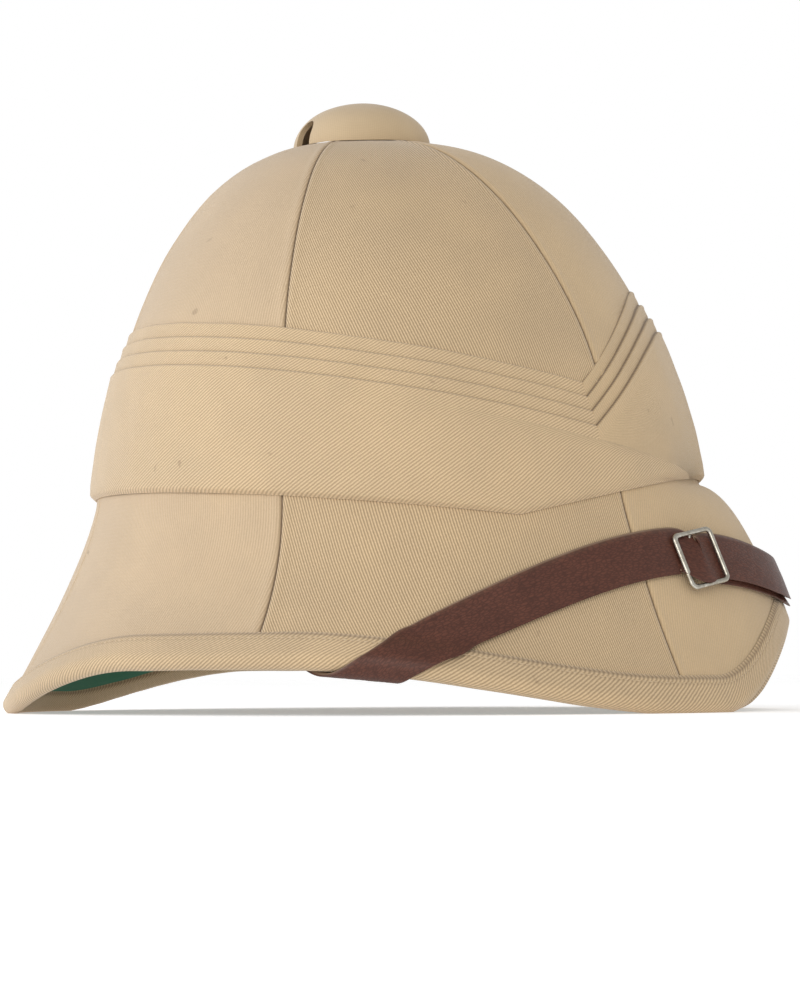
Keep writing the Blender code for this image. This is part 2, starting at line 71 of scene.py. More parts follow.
def rim_height(degrees):
    a = np.abs((np.asarray(degrees, float) + 180) % 360 - 180)
    peak = PEAK_LIFT * (1 - ease(a, 0, PEAK_CORNER[0]))
    arch = SIDE_LIFT * ease(a, PEAK_CORNER[1], SIDE_CREST[0]) * (1 - ease(a, SIDE_CREST[1], BACK_REST))
    return peak + arch - PRESS


def waist_height(degrees):
    return around(WAIST_HEIGHT_FRONT, WAIST_HEIGHT, WAIST_HEIGHT, degrees)


def taper(degrees):
    return around(TAPER_FRONT, TAPER_SIDE, TAPER_BACK, degrees)


def rim_drop(degrees):
    """How far the rim's outer edge lies above the lowest line of its bound edge."""
    t = np.radians(degrees)
    length = np.where(np.cos(t) > 0, WAIST_FRONT, WAIST_BACK)
    reach = np.hypot((RIM_LENGTH_HALF - length) * np.cos(t), (RIM_WIDTH_HALF - WAIST_SIDE) * np.sin(t))
    flare = around(FLARE_FRONT, FLARE_SIDE, FLARE_BACK, degrees)
    slope = np.arctan2(waist_height(degrees) - rim_height(degrees), reach * flare)
    return BINDING + BINDING_GAP + WALL / 2 * (1 + np.cos(slope) - np.sin(slope))


def shell_point(degrees, s):
    """Points of the shell's outer face. s goes from 0 at the vent hole to 1 at the waist and 2 at the rim."""
    degrees, s = np.broadcast_arrays(np.asarray(degrees, float), np.asarray(s, float))
    t = np.radians(degrees)
    length = np.where(np.cos(t) > 0, WAIST_FRONT, WAIST_BACK)
    waist = waist_height(degrees)
    phi = np.arccos((VENT_HOLE / length) ** (1 / taper(degrees))) * (1 - np.minimum(s, 1))
    width = np.cos(phi) ** taper(degrees)
    w = np.maximum(s - 1, 0)
    out = w ** around(FLARE_FRONT, FLARE_SIDE, FLARE_BACK, degrees)
    x = CROWN_LEAN * np.sin(phi) ** 2 + (length * width + (RIM_LENGTH_HALF - length) * out) * np.cos(t)
    y = (WAIST_SIDE * width + (RIM_WIDTH_HALF - WAIST_SIDE) * out) * np.sin(t)
    crown = waist + (CROWN_TOP - waist) * np.sin(phi) ** CROWN_RISE
    z = np.where(s > 1, waist + (rim_height(degrees) + rim_drop(degrees) - waist) * w, crown)
    return np.stack([x, y, z], -1)


def unit(vectors):
    return vectors / np.linalg.norm(vectors, axis=-1, keepdims=True)


def frame_at(degrees, s):
    """Points of the outer face, the way down along it and its outward normals."""
    degrees, s = np.broadcast_arrays(np.asarray(degrees, float), np.asarray(s, float))
    step, swing = 0.016, 0.4
    down = unit(shell_point(degrees, np.minimum(s + step, 2)) - shell_point(degrees, np.maximum(s - step, 0)))
    across = shell_point(degrees + swing, s) - shell_point(degrees - swing, s)
    return shell_point(degrees, s), down, unit(np.cross(down, across))


def on_shell(degrees, s, lift):
    point, _, normal = frame_at(degrees, s)
    return point + normal * np.asarray(lift, float)[..., None]


def run_along(points, axis=0):
    """Distances along lines of points, from 0 at the first."""
    steps = np.linalg.norm(np.diff(points, axis=axis), axis=-1)
    return np.insert(steps.cumsum(axis), 0, 0, axis=axis)


TABLE_START, TABLE_END, TABLE_STEP = -182, 543, 1.0
TABLE_S = np.linspace(2.0, 0.4, 201)
table_degrees = np.arange(TABLE_START, TABLE_END, TABLE_STEP)[:, None]
climbed = run_along(shell_point(table_degrees, TABLE_S[None]), 1)


def s_from_rim(degrees, length):
    """Where the outer face is this far up from the rim, along its slope."""
    degrees, length = np.broadcast_arrays(np.asarray(degrees, float), np.asarray(length, float))
    found = np.empty(degrees.size)
    for k, (angle, reach) in enumerate(zip(degrees.flat, length.flat)):
        place = (angle - TABLE_START) / TABLE_STEP
        row = int(place)
        share = place - row
        found[k] = np.interp(reach, climbed[row] * (1 - share) + climbed[row + 1] * share, TABLE_S)
    return found.reshape(degrees.shape)


def edge_point(degrees, length, lift):
    """Points on the path over the shell's edge, lift clear of the wall.

    length is measured at that lift, 0 at the middle of the edge, growing outside and falling inside.
    """
    degrees, length, lift = np.broadcast_arrays(
        np.asarray(degrees, float), np.asarray(length, float), np.asarray(lift, float))
    radius = WALL / 2
    turn = math.pi / 2 * (radius + lift)
    point, down, normal = frame_at(degrees, 2.0)
    angle = np.clip(length / (radius + lift), -math.pi / 2, math.pi / 2)[..., None]
    centre = point - (normal + down) * radius
    bent = centre + (normal * np.sin(angle) + down * np.cos(angle)) * (radius + lift)[..., None]
    s = s_from_rim(degrees, np.maximum(np.abs(length) - turn, 0) + radius)
    straight = on_shell(degrees, s, np.where(length > 0, lift, -WALL - lift))
    return np.where((np.abs(length) <= turn)[..., None], bent, straight)


def ripple(points, size, seed):
    """A soft unevenness between -1 and 1, about size across."""
    k = 2 * math.pi / size
    rng = np.random.default_rng(seed)
    total = 0
    for _ in range(7):
        way = rng.normal(size=3)
        way *= k * rng.uniform(0.6, 1.5) / np.linalg.norm(way)
        total = total + np.sin(points @ way + rng.uniform(0, 2 * math.pi))
    return total / 4


SHARP = 50


def body(name, points, faces, fan=False):
    """A smooth object of these faces, all turned outward. fan gives each many-sided face a middle point."""
    mesh = bpy.data.meshes.new(name)
    mesh.from_pydata(np.reshape(points, (-1, 3)).tolist(), [], faces)
    bm = bmesh.new()
    bm.from_mesh(mesh)
    if fan:
        bmesh.ops.poke(bm, faces=[face for face in bm.faces if len(face.verts) > 4])
    bmesh.ops.recalc_face_normals(bm, faces=bm.faces)
    bm.to_mesh(mesh)
    bm.free()
    mesh.shade_smooth()
    mesh.set_sharp_from_angle(angle=math.radians(SHARP))
    made = bpy.data.objects.new(name, mesh)
    bpy.context.scene.collection.objects.link(made)
    return made


def both_faces(outer, inner):
    """Closed sections, along the outer face and back along the inner one."""
    return np.concatenate([outer, inner[:, ::-1]], axis=1)


def flat_places(along, across):
    """The cloth's own flat places in metres, the same on both faces."""
    places = np.stack(np.broadcast_arrays(along[:, None], across), -1)
    return both_faces(places, places)


def sewn(name, sections, weave, shade, round_length=None):
    """One body from closed sections of points, with the cloth's flat places and a mask per point that is 1
    where painted shade darkens the cloth in folds, seams and edges, and 1 on the leather's suede.

    round_length is given for a ring alone. It is the cloth's length once round.
    """
    n, m, _ = sections.shape
    closed = round_length is not None
    at = np.arange(n * m).reshape(n, m)
    first = at if closed else at[:-1]
    second = np.roll(at, -1, axis=0) if closed else at[1:]
    quads = np.stack([first, np.roll(first, -1, 1), np.roll(second, -1, 1), second], -1)
    quads = quads.reshape(-1, 4).tolist()
    if not closed:
        for ring in (at[0], at[-1]):
            for j in range(m // 2 - 1):
                quads.append([int(v) for v in (ring[j], ring[j + 1], ring[m - 2 - j], ring[m - 1 - j])])
            if m % 2:
                quads.append([int(v) for v in ring[m // 2 - 1:m // 2 + 2]])
    piece = body(name, sections, quads)
    mesh = piece.data
    corner = np.empty(len(mesh.loops), int)
    mesh.loops.foreach_get("vertex_index", corner)
    flat = np.broadcast_to(np.asarray(weave, float), (n, m, 2)).reshape(-1, 2)[corner]
    if closed:
        sizes = np.empty(len(mesh.polygons), int)
        mesh.polygons.foreach_get("loop_total", sizes)
        strip = np.repeat(np.arange(len(sizes)) // m, sizes)
        flat[(strip == n - 1) & (corner // m == 0), 0] += round_length
    mesh.uv_layers.new(name="weave").data.foreach_set("uv", flat.ravel())
    shade = np.broadcast_to(np.asarray(shade, float), (n, m))
    mesh.attributes.new("shade", "FLOAT", "POINT").data.foreach_set("value", shade.ravel())
    return piece


class Line:
    """A socket in a material, so that sums on it can be written as plain Python."""

    def __init__(self, finish, socket):
        self.finish = finish
        self.socket = socket

    def sum(self, operation, *values):
        return self.finish.node("ShaderNodeMath", {"operation": operation}, dict(enumerate(values)))[0]

    def __add__(self, other):
        return self.sum("ADD", self, other)

    def __sub__(self, other):
        return self.sum("SUBTRACT", self, other)

    def __mul__(self, other):
        return self.sum("MULTIPLY", self, other)

    def __pow__(self, other):
        return self.sum("POWER", self, other)

    __radd__ = __add__
    __rmul__ = __mul__

    def sine(self):
        return self.sum("SINE", self)


class Finish:
    """A material under construction."""

    def __init__(self, name):
        self.material = bpy.data.materials.new(name)
        self.material.use_nodes = True
        self.tree = self.material.node_tree
        self.shader = self.tree.nodes["Principled BSDF"]

    def node(self, kind, settings=None, sockets=None):
        """Adds a node with its settings and sockets, which are values or Lines, and returns its outputs."""
        made = self.tree.nodes.new(kind)
        for key, value in (settings or {}).items():
            if key == "stops":
                ramp = made.color_ramp.elements
                while len(ramp) < len(value):
                    ramp.new(0.5)
                for stop, (place, colour) in zip(ramp, value):
                    stop.position = place
                    stop.color = (*colour, 1)
            else:
                setattr(made, key, value)
        for key, value in (sockets or {}).items():
            self.put(made.inputs[key], value)
        return [Line(self, out) for out in made.outputs if out.enabled]

    def put(self, socket, value):
        if isinstance(value, Line):
            self.tree.links.new(value.socket, socket)
        elif isinstance(value, tuple) and len(value) == 3 and socket.type == "RGBA":
            socket.default_value = (*value, 1)
        else:
            socket.default_value = value

    def surface(self, **sockets):
        for key, value in sockets.items():
            self.put(self.shader.inputs[key.replace("_", " ")], value)

    def blend(self, factor, a, b, how="MIX"):
        """A colour between a and b."""
        made = self.tree.nodes.new("ShaderNodeMix")
        made.data_type = "RGBA"
        made.blend_type = how
        self.put(made.inputs[0], factor)
        self.put(made.inputs[6], a)
        self.put(made.inputs[7], b)
        return Line(self, made.outputs[2])

    def noise(self, place, scale, detail=2.0, rough=0.5):
        return self.node("ShaderNodeTexNoise", {"noise_dimensions": "3D"},
                         {"Vector": place, "Scale": scale, "Detail": detail, "Roughness": rough})[0]

    def spot(self):
        """The place in the object, in metres."""
        return [line for line in self.node("ShaderNodeTexCoord") if line.socket.name == "Object"][0]

    def weave(self):
        """The cloth's own flat place, in metres."""
        return self.node("ShaderNodeUVMap", {"uv_map": "weave"})[0]

    def shade(self):
        """The mask per point: 1 where painted shade darkens the cloth in folds, seams and edges, 1 on the
        leather's suede, and 0 elsewhere.
        """
        return self.node("ShaderNodeAttribute", {"attribute_name": "shade"})[2]

    def ramp(self, factor, low, high, start=(0, 0, 0), end=(1, 1, 1)):
        """A colour that goes from start to end while the factor goes from low to high."""
        return self.node("ShaderNodeValToRGB", {"stops": [(low, start), (high, end)]}, {0: factor})[0]

    def bump(self, height, depth, strength):
        return self.node("ShaderNodeBump", {}, {"Strength": strength, "Distance": depth, "Height": height})[0]


KHAKI, KHAKI_VALLEY = (0.640, 0.477, 0.293), (0.255, 0.176, 0.098)
DARK_FLECK, THREAD_SHADOW = (0.20, 0.13, 0.075), (0.115, 0.070, 0.036)


def twill(name, lean, pitch, colour=KHAKI, valley=KHAKI_VALLEY, contrast=0.55, depth=0.00016):
    """Cotton twill. lean is its ribs' angle to the cloth's level line and pitch is one rib to the next."""
    cloth = Finish(name)
    spot = cloth.spot()
    u, v, _ = cloth.node("ShaderNodeSeparateXYZ", {}, {0: cloth.weave()})
    c, s = math.cos(math.radians(lean)), math.sin(math.radians(lean))
    rib_turn = 2 * math.pi / pitch
    bead_turn = rib_turn / 1.7
    wobble = cloth.noise(spot, 700.0, 2.0)
    drift = cloth.noise(spot, 55.0, 1.0)
    across = (v * (c * rib_turn) - u * (s * rib_turn)) + wobble * 1.9 + drift * 2.6
    along = u * (c * bead_turn) + v * (s * bead_turn) + wobble * 3.0
    rib = (across.sine() * 0.5 + 0.5) ** 0.8
    bead = along.sine() * 0.5 + 0.5
    height = rib * (bead * 0.14 + 0.86)
    fibre = cloth.noise(spot, 2600.0, 2.0, 0.6)
    worn = cloth.noise(spot, 26.0, 3.0, 0.6)
    fade = cloth.ramp(worn, 0.38, 0.66, (0.955, 0.955, 0.955), (1.03, 1.025, 1.01))
    strand = cloth.ramp(fibre, 0.3, 0.7, (0.93, 0.92, 0.91), (1.05, 1.05, 1.05))
    base = cloth.blend(height * contrast + (1 - contrast), valley, colour)
    base = cloth.blend(1.0, base, fade, "MULTIPLY")
    base = cloth.blend(1.0, base, strand, "MULTIPLY")
    fleck = cloth.ramp(cloth.noise(spot, 160.0, 1.0), 0.765, 0.80)
    base = cloth.blend(fleck * 0.35, base, DARK_FLECK)
    # Painted shade: the mask darkens the cloth towards THREAD_SHADOW in the seams, along the tucks' edges and
    # along the binding's upper edge and stitch line.
    base = cloth.blend(cloth.shade(), base, THREAD_SHADOW)
    cloth.surface(Base_Color=base, Roughness=fibre * 0.12 + 0.78,
                  Normal=cloth.bump(height + fibre * 0.35, depth, 0.75))
    cloth.surface(Sheen_Weight=0.25, Sheen_Roughness=0.5, Specular_IOR_Level=0.25)
    return cloth.material


def grade(start, end, near, step):
    """Angles from start to end, close together at both ends."""
    inner = near[-1]
    count = max(int(round((end - start - 2 * inner) / step)), 2)
    middle = np.linspace(start + inner, end - inner, count + 1)
    return np.array([start + a for a in near[:-1]] + list(middle) + [end - a for a in near[:-1][::-1]])


def seam_turn(degrees, s):
    """How many degrees a seam swings aside above the waist."""
    return SEAM_SWING * (1 - ease(s, 0.1, 0.65)) * np.sin(np.radians(2 * degrees))


SEAM_COLUMNS = (0.015, 0.10, 0.2, 0.32, 0.46, 0.62, 0.82, 1.1, 1.5, 2.0)
COLUMN_STEP, BRIM_RUN, WEAVE_LEVEL = 1.15, 0.076, 0.20
GROOVE, GROOVE_HALF, GROOVE_SHADE = 0.0006, 0.00048, 0.00034
RIDGE, RIDGE_PLACE, RIDGE_HALF = 0.00030, 0.0021, 0.0011
PUCKER, PUCKER_PLACE, PUCKER_HALF = 0.00003, 0.003, 0.002


def shell_piece(name, start, end, finish):
    """One sewn piece of the cover with the cork under it, from the vent hole down to the rim."""
    degrees = grade(start, end, SEAM_COLUMNS, COLUMN_STEP)[:, None]
    radius = WALL / 2
    brim = s_from_rim(degrees, np.linspace(BRIM_RUN, radius, 30)[None])
    crown = np.linspace(0, 1, 64)[None] ** 1.5 * (brim[:, :1] - 0.01)
    s = np.concatenate([crown, brim], axis=1)
    face, _, normal = frame_at(degrees + seam_turn(degrees, s), s)
    pace = np.radians(np.hypot(face[..., 0], face[..., 1]))
    gap = np.minimum(degrees - start, end - degrees) * pace
    groove = np.exp(-(gap / GROOVE_HALF) ** 2)
    ridge = np.exp(-((gap - RIDGE_PLACE) / RIDGE_HALF) ** 2)
    pucker = np.exp(-((gap - PUCKER_PLACE) / PUCKER_HALF) ** 2) * np.sin(s * 620 + degrees * 3)
    lift = RIDGE * ridge - GROOVE * groove + PUCKER * pucker
    lift = lift + 0.00014 * ripple(face, 0.030, 4) + 0.00025 * ripple(face, 0.085, 9)
    outer = face + normal * lift[..., None]
    inner = face - normal * WALL
    bend = np.radians(np.arange(67.5, -68, -22.5))[None]
    rim = edge_point(degrees, bend * radius, 0.0)
    level = WEAVE_LEVEL - run_along(face, 1)
    side = (degrees - (start + end) / 2) * pace
    weave = np.stack([side, level], -1)
    low = np.stack([np.repeat(side[:, -1:], bend.size, 1), level[:, -1:] - (math.pi / 2 - bend) * radius], -1)
    # Painted shade: the cloth is darkened along each seam's groove, strongest at its middle.
    dark = 0.97 * np.exp(-(gap / GROOVE_SHADE) ** 2)
    shade = np.concatenate([dark, np.zeros((len(dark), bend.size + dark.shape[1]))], axis=1)
    piece = sewn(name, np.concatenate([outer, rim, inner[:, ::-1]], axis=1),
                 np.concatenate([weave, low, weave[:, ::-1]], axis=1), shade)
    piece.data.materials.append(finish)
    return piece


shell_front_cloth = twill("twill_front", 64, 0.00095, (0.570, 0.420, 0.250), contrast=0.28)
shell_side_cloth = twill("twill_side", 103, 0.00092, contrast=0.86)
shell_back_cloth = twill("twill_back", 92, 0.00095, (0.560, 0.420, 0.270), contrast=0.34)
for node, start, end, finish in (
    ("panel_front", -FRONT_SEAM, FRONT_SEAM, shell_front_cloth),
    ("panel_right_front", -SIDE_SEAM, -FRONT_SEAM, shell_side_cloth),
    ("panel_right_rear", -BACK_SEAM, -SIDE_SEAM, shell_back_cloth),
    ("panel_back", BACK_SEAM, 360 - BACK_SEAM, shell_back_cloth),
    ("panel_left_rear", SIDE_SEAM, BACK_SEAM, shell_back_cloth),
    ("panel_left_front", FRONT_SEAM, SIDE_SEAM, shell_side_cloth),
):
    piece = shell_piece(node.replace("panel", "shell"), start, end, finish)
    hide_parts(node)
    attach(piece, "root")

# The rim's binding. A strip of the same twill cut on the bias, 8 mm up outside and 6 mm inside, folded over
# the rim and sewn through near its upper edge. It is pressed flat where the helmet stands on it.
BINDING_OUTSIDE, BINDING_INSIDE, STITCH_LINE, FAR_FROM_EDGE = 0.0080, 0.0060, 0.0017, 0.02


def ring_run(points):
    """Distances round a closed line of points, and its whole length."""
    run = run_along(np.concatenate([points, points[:1]]))
    return run[:-1], run[-1]


ring = np.arange(-180, 180, 0.5)[:, None]
half_wall, cover = WALL / 2, BINDING_GAP + BINDING
from_top = np.array([0, 0.00012, 0.0003, 0.0006, 0.001, 0.0013, 0.0016, 0.0019, 0.0022, 0.0027, 0.0036,
                     0.0050, 0.0065, BINDING_OUTSIDE])
from_hem = np.array([BINDING_INSIDE, 0.004, 0.002, 0.001, 0.0005, 0.0002, 0])
bends = np.radians(np.arange(75, -76, -15))
edge_turn = math.pi / 2 * (half_wall + cover)
path = np.concatenate([BINDING_OUTSIDE - from_top + edge_turn, bends * (half_wall + cover),
                       from_hem - BINDING_INSIDE - edge_turn])[None]
from_edge = np.concatenate([from_top, np.full(len(bends), FAR_FROM_EDGE), from_hem])[None]
face = edge_point(ring, path, cover)
out_from = unit(edge_point(ring, path, cover + 0.0001) - face)
thinned = 0.75 * np.exp(-(from_edge / 0.0005) ** 1.6)
sewn_down = np.exp(-((from_edge - STITCH_LINE) / 0.0005) ** 2) * (path > 0)
tug = np.sin(np.radians(ring) * 190 + np.sin(np.radians(ring) * 31) * 2)
lift = 0.00004 * tug * np.exp(-((from_edge - 0.004) / 0.003) ** 2) - thinned * BINDING - 0.00032 * sewn_down
lift = lift + 0.00010 * ripple(face, 0.016, 21) + 0.00012 * ripple(face, 0.05, 3)
outer = face + out_from * lift[..., None]
inner = edge_point(ring, path, BINDING_GAP * 0.4)
outer[..., 2] = np.maximum(outer[..., 2], 0.0)
inner[..., 2] = np.maximum(inner[..., 2], BINDING / 2)
round_run, round_length = ring_run(face[:, len(from_top)])
# Painted shadow: the binding is darkened along its folded upper edge and along the stitch line below it.
shade = 0.45 * np.exp(-(from_edge / 0.00035) ** 2) + 0.18 * sewn_down
shade = np.concatenate([shade, np.zeros(shade.shape)], axis=1)
rim_binding = sewn("rim_binding", both_faces(outer, inner), flat_places(round_run, path), shade, round_length)
rim_binding.data.materials.append(twill("twill_bias", 38, 0.00118, contrast=0.78))
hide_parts("brim_binding")
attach(rim_binding, "root")

# The stitches that hold the binding. One row of cotton thread stitches in the groove below its upper edge,
# each 1.9 mm long, all round the rim.
STITCH_PITCH, STITCH_LENGTH, STITCH_THICKNESS, STITCH_PROUD = 0.0026, 0.0019, 0.00042, 0.00004


def stitch_tree():
    tree = bpy.data.node_groups.new("stitch_row", "GeometryNodeTree")
    outside = tree.interface
    outside.new_socket("Line", in_out="INPUT", socket_type="NodeSocketGeometry")
    for label, value in (("Pitch", STITCH_PITCH), ("Length", STITCH_LENGTH), ("Thickness", STITCH_THICKNESS)):
        outside.new_socket(label, in_out="INPUT", socket_type="NodeSocketFloat").default_value = value
    outside.new_socket("Seed", in_out="INPUT", socket_type="NodeSocketInt").default_value = 7
    outside.new_socket("Thread", in_out="INPUT", socket_type="NodeSocketMaterial")
    outside.new_socket("Stitches", in_out="OUTPUT", socket_type="NodeSocketGeometry")

    def add(kind, settings=None, sockets=None):
        made = tree.nodes.new(kind)
        for key, value in (settings or {}).items():
            setattr(made, key, value)
        for key, value in (sockets or {}).items():
            if isinstance(value, bpy.types.NodeSocket):
                tree.links.new(value, made.inputs[key])
            else:
                made.inputs[key].default_value = value
        return made

    given = add("NodeGroupInput").outputs
    points = add("GeometryNodeResampleCurve", {"mode": "LENGTH"},
                 {"Curve": given["Line"], "Length": given["Pitch"]})
    stitch = add("GeometryNodeMeshUVSphere", {}, {"Segments": 8, "Rings": 5, "Radius": 0.5})
    size = add("ShaderNodeCombineXYZ", {},
               {"X": given["Thickness"], "Y": given["Thickness"], "Z": given["Length"]})
    tangent = add("GeometryNodeInputTangent")
    jitter = add("FunctionNodeRandomValue", {"data_type": "FLOAT_VECTOR"},
                 {0: (-0.08, -0.08, -0.08), 1: (0.08, 0.08, 0.08), "Seed": given["Seed"]})
    aim = add("ShaderNodeVectorMath", {"operation": "ADD"}, {0: tangent.outputs[0], 1: jitter.outputs[0]})
    rotation = add("FunctionNodeAlignRotationToVector", {"axis": "Z"}, {"Vector": aim.outputs[0]})
    placed = add("GeometryNodeInstanceOnPoints", {}, {
        "Points": points.outputs[0], "Instance": stitch.outputs[0], "Rotation": rotation.outputs[0],
        "Scale": size.outputs[0]})
    solid = add("GeometryNodeRealizeInstances", {}, {0: placed.outputs[0]})
    done = add("GeometryNodeSetMaterial", {}, {"Geometry": solid.outputs[0], "Material": given["Thread"]})
    tree.links.new(done.outputs[0], add("NodeGroupOutput").inputs[0])
    return tree


stitches = stitch_tree()
thread = Finish("cotton_thread")
twist = thread.noise(thread.spot(), 1800.0, 2.0)
thread.surface(Base_Color=thread.blend(twist, (0.42, 0.31, 0.19), (0.66, 0.52, 0.35)),
               Roughness=twist * 0.2 + 0.6)


def stitch_row(name, points, seed):
    """A row of stitches round a closed line of points, as one plain mesh."""
    curve = bpy.data.curves.new(name, "CURVE")
    curve.dimensions = "3D"
    spline = curve.splines.new("POLY")
    spline.points.add(len(points) - 1)
    spline.points.foreach_set("co", np.concatenate([points, np.ones((len(points), 1))], axis=1).ravel())
    spline.use_cyclic_u = True
    guide = bpy.data.objects.new(name + "_line", curve)
    bpy.context.scene.collection.objects.link(guide)
    sewing = guide.modifiers.new("stitches", "NODES")
    sewing.node_group = stitches
    names = {item.name: item.identifier for item in stitches.interface.items_tree if item.in_out == "INPUT"}
    sewing[names["Seed"]] = seed
    sewing[names["Thread"]] = thread.material
    bpy.context.view_layer.update()
    seen = guide.evaluated_get(bpy.context.evaluated_depsgraph_get())
    mesh = bpy.data.meshes.new_from_object(seen)
    bpy.data.objects.remove(guide)
    mesh.shade_smooth()
    row = bpy.data.objects.new(name, mesh)
    bpy.context.scene.collection.objects.link(row)
    return row


sewn_row = np.abs(from_top - STITCH_LINE).argmin()
groove_line = outer[:, sewn_row] + out_from[:, sewn_row] * STITCH_PROUD
binding_stitches = stitch_row("binding_stitches", groove_line, 7)
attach(binding_stitches, "root")

# The puggaree. A long strip of khaki twill wound round the waist of the crown and sewn down, with three tucks
# along its upper edge. The stretch over the front meets the wrap in a V at each front seam, and below the V
# the wrap's own cloth runs on to the front.
WRAP_GAP, FOLD, TUCKS, TUCK_PITCH = 0.0003, 0.0009, 3, 0.0058
MITRE, FOOT_CORNER, BACK_LEVEL, WRAP_REACH = 43, 60, 155, 31.0
TOP_BACK, TOP_MITRE, TOP_FRONT = 0.1530, 0.1250, 0.1680
FOOT_BACK, FOOT_LOW, FOOT_FRONT = 0.0860, 0.0740, 0.0920


def quarter(value, start, end):
    """Goes from 0 at start to 1 at end as a quarter of a sine wave."""
    return np.sin(math.pi / 2 * np.clip((value - start) / (end - start), 0, 1))


def wrap_edges(degrees):
    """Heights of the puggaree's top and foot at these angles."""
    a = np.abs((np.asarray(degrees, float) + 180) % 360 - 180)
    front_top = TOP_MITRE + (TOP_FRONT - TOP_MITRE) * quarter(MITRE - a, 0, MITRE)
    side_top = TOP_MITRE + (TOP_BACK - TOP_MITRE) * quarter(a, MITRE, BACK_LEVEL)
    front_foot = FOOT_LOW + (FOOT_FRONT - FOOT_LOW) * quarter(FOOT_CORNER - a, 0, FOOT_CORNER)
    side_foot = FOOT_LOW + (FOOT_BACK - FOOT_LOW) * quarter(a, FOOT_CORNER, BACK_LEVEL)
    return np.where(a < MITRE, front_top, side_top), np.where(a < FOOT_CORNER, front_foot, side_foot)


tuck_rows = np.array([0, 0.00008, 0.0002, 0.0004, 0.0007, 0.0011, 0.0017, 0.0026, 0.0036, 0.0046, 0.0053,
                      0.0056])
wide_rows = np.array([*tuck_rows[:9], 0.0055])
band_rows = [tuck_rows + k * TUCK_PITCH for k in range(TUCKS)] + [wide_rows + TUCKS * TUCK_PITCH]
band_rows = np.concatenate(band_rows)
wide_share = np.concatenate([np.linspace(0, 1, 24)[1:-3], [0.955, 0.972, 0.984, 0.993, 0.998, 1.0]])
WEAVE_ROW = 30
LEVEL_S = np.linspace(0, 1.6, 321)
level_table = shell_point(table_degrees, LEVEL_S[None])[..., 2]


def band(name, angles, crisp, finish):
    """One stretch of the wrap, with a line of angles down each column. crisp is how sharp its tucks are."""
    tops, _ = wrap_edges(angles[:, 0])
    _, feet = wrap_edges(angles[:, -1])
    fixed = tops[:, None] - band_rows[None]
    rest = fixed[:, -1:] + (feet[:, None] - fixed[:, -1:]) * wide_share[None]
    heights = np.concatenate([fixed, rest], axis=1)
    place = (angles - TABLE_START) / TABLE_STEP
    row, part = place.astype(int), place % 1
    s = np.empty(heights.shape)
    for i, j in np.ndindex(*s.shape):
        z = level_table[row[i, j]] * (1 - part[i, j]) + level_table[row[i, j] + 1] * part[i, j]
        s[i, j] = np.interp(-heights[i, j], -z, LEVEL_S)
    face, _, normal = frame_at(angles, s)
    drop = np.broadcast_to(band_rows, fixed.shape)
    below = np.concatenate([drop, drop[:, -1:] + (fixed[:, -1:] - rest)], axis=1)
    layer, lip, dip = FOLD * 0.9, FOLD * 0.35 * crisp, FOLD * 0.30 * crisp
    lift = np.full(below.shape, layer)
    shade = np.zeros(below.shape)
    for k in range(TUCKS + 1):
        past = below - k * TUCK_PITCH
        if k:
            lift = lift + layer * (past >= 0) * (1 - np.exp(-(np.maximum(past, 0) / 0.00022) ** 1.3))
        lift = lift + lip * (past >= 0) * np.exp(-((past - 0.0008) / 0.0008) ** 2)
        lift = lift - dip * (past < 0) * np.exp(-((past + 0.0005) / 0.0006) ** 2)
        # Painted shadow: a dark line along each tuck's folded edge, as strong as the tuck is crisp.
        shade = np.maximum(shade, crisp * np.exp(-((past + 0.00005) / 0.00030) ** 2))
    first = 1 - np.exp(-(below / 0.00025) ** 1.3)
    lift = WRAP_GAP + (lift - WRAP_GAP) * np.where(below < 0.003, 0.25 + 0.75 * first, 1)
    to_foot = np.maximum(heights - feet[:, None], 0)
    lift = lift - np.exp(-(to_foot / 0.0011) ** 1.5) * (lift - WRAP_GAP) * 0.75
    lift = lift + 0.00020 * ripple(face, 0.040, 31) + 0.00010 * ripple(face, 0.012, 33)
    outer = face + normal * lift[..., None]
    inner = face + normal * WRAP_GAP * 0.4
    weave = flat_places(run_along(face[:, WEAVE_ROW]), -run_along(face, 1))
    shade = np.concatenate([shade * 0.85, np.zeros(shade.shape)], axis=1)
    piece = sewn(name, both_faces(outer, inner), weave, shade)
    piece.data.materials.append(finish)
    return piece


def between(start, end, count, near, inner):
    """Angles for every column and row between two slanting ends, with near more columns close to each."""
    share = np.concatenate([np.linspace(0, inner, near), np.linspace(inner, 1 - inner, count)[1:-1],
                            np.linspace(1 - inner, 1, near)])[:, None]
    return start + (end - start) * share


def join(whole, other):
    """Joins the other object into the whole one."""
    bpy.ops.object.select_all(action="DESELECT")
    other.select_set(True)
    whole.select_set(True)
    bpy.context.view_layer.objects.active = whole
    bpy.ops.object.join()


slant = MITRE - WRAP_REACH * np.concatenate([np.zeros(len(band_rows)), wide_share]) ** 0.9
wrap_cloth = twill("twill_wrap", 36, 0.00090, contrast=0.66)
front_cloth = twill("twill_wrap_front", -62, 0.00095, (0.570, 0.420, 0.250), contrast=0.26)
wrap = band("wrap_long", between(slant, 360 - slant, 300, 12, 0.03), 0.38, wrap_cloth)
front = band("wrap_over_front", between(-slant, slant, 110, 14, 0.06), 1.0, front_cloth)
join(wrap, front)
wrap.name = "puggaree"
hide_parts("puggaree_wrap", "puggaree_front")
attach(wrap, "root")

